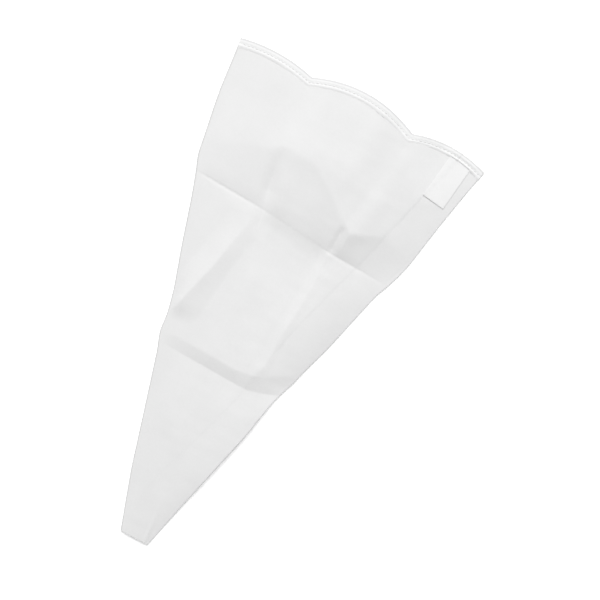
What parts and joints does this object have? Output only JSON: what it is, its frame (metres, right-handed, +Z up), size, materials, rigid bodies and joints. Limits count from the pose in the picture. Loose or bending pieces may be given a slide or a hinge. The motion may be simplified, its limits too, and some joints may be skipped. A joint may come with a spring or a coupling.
{
  "type": "piping bag",
  "caption": "Reusable cloth piping bag lying flat: open cut tip, hemmed scalloped mouth, side tape loop for hanging, and two soft creases where it folds in three.",
  "frame": {"origin": "centre of the flat bag's footprint, on the surface it lies on", "axes": "+Y from the cut tip to the mouth, +X across the bag, +Z up, with the side that carries the hanging loop on top"},
  "size_m": [0.229, 0.4108, 0.0107],
  "materials": {
    "bag_cloth": "fine plain weave with a soft matt coating",
    "seam_cloth": "the bag's cloth seen from its coated inner side",
    "hem_cloth": "the bag's cloth in several thicknesses, pressed",
    "loop_tape": "woven cotton tape, matt",
    "thread": "twisted polyester thread, slight sheen"
  },
  "bodies": {
    "middle_section": {"middle_front": "bag_cloth", "middle_back": "bag_cloth", "middle_seam_overlap": "seam_cloth"},
    "mouth_section": {"mouth_front": "bag_cloth", "mouth_back": "bag_cloth", "mouth_seam_overlap": "seam_cloth", "hem_front": "hem_cloth", "hem_back": "hem_cloth", "hem_stitching_front": "thread", "hem_stitching_back": "thread", "loop_bar_tack": "thread"},
    "tip_section": {"tip_front": "bag_cloth", "tip_back": "bag_cloth", "tip_seam_overlap": "seam_cloth"},
    "loop": {"hanging_loop": "loop_tape"}
  },
  "joints": [
    {"name": "mouth_fold", "type": "hinge", "parent": "middle_section", "child": "mouth_section", "pos_m": [0, 0.08017, 0.0093], "axis": [0.9984, -0.0564, 0], "range_deg": [0, 179.5]},
    {"name": "tip_fold", "type": "hinge", "parent": "middle_section", "child": "tip_section", "pos_m": [0, -0.05242, 0.0138], "axis": [-0.9992, 0.04, 0], "range_deg": [0, 179.5]},
    {"name": "loop_swing", "type": "hinge", "parent": "mouth_section", "child": "loop", "pos_m": [0.0929, 0.18968, 0.0096], "axis": [-0.9921, 0.1253, 0], "range_deg": [0, 170]}
  ]
}
